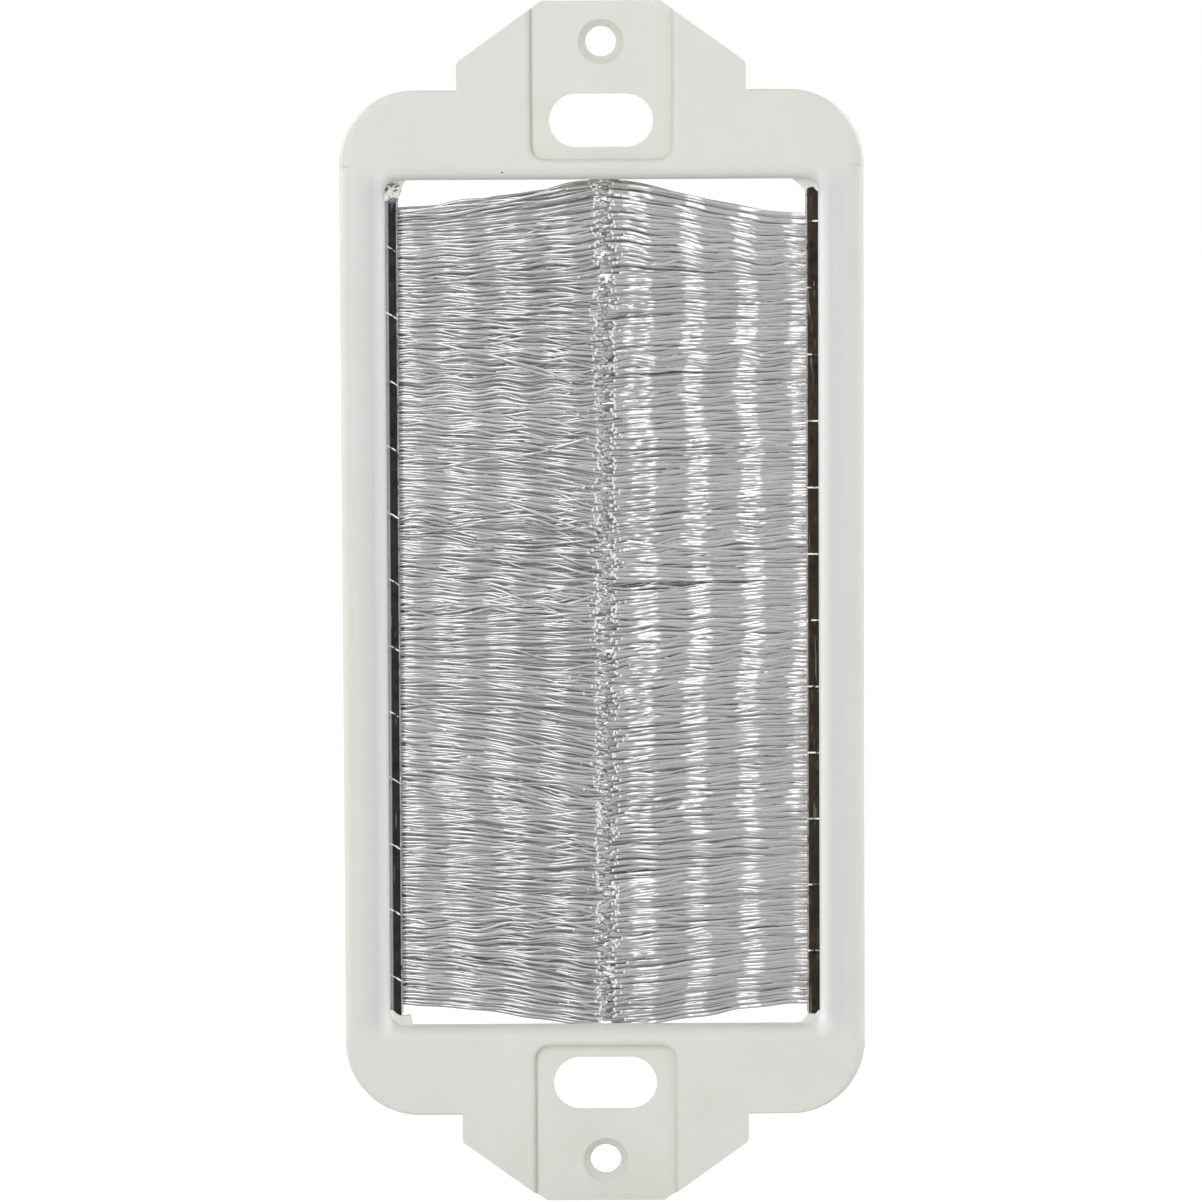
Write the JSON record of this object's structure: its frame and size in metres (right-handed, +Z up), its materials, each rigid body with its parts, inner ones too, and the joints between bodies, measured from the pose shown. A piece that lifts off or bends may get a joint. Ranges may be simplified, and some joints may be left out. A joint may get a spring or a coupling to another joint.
{
  "type": "brush cable grommet",
  "caption": "Stamped wall-box strap with a tall window closed by facing strips of crimped clear bristles that part to pass cables.",
  "frame": {"origin": "middle of the front face, midway between the two box-screw slots", "axes": "+Z up along the strap as it is screwed to a wall box, +X to the right as seen from the front, front towards -Y"},
  "size_m": [0.045, 0.0062, 0.1038],
  "materials": {
    "painted_steel": "satin off-white paint",
    "channel_steel": "bright rolled strip",
    "wire_steel": "drawn wire",
    "clear_nylon": "clear crimped filament"
  },
  "bodies": {
    "root": {"frame": "painted_steel", "channel_left": "channel_steel", "channel_right": "channel_steel", "core_wire_left": "wire_steel", "core_wire_right": "wire_steel", "bristles_left": "clear_nylon", "bristles_right": "clear_nylon"}
  },
  "joints": []
}
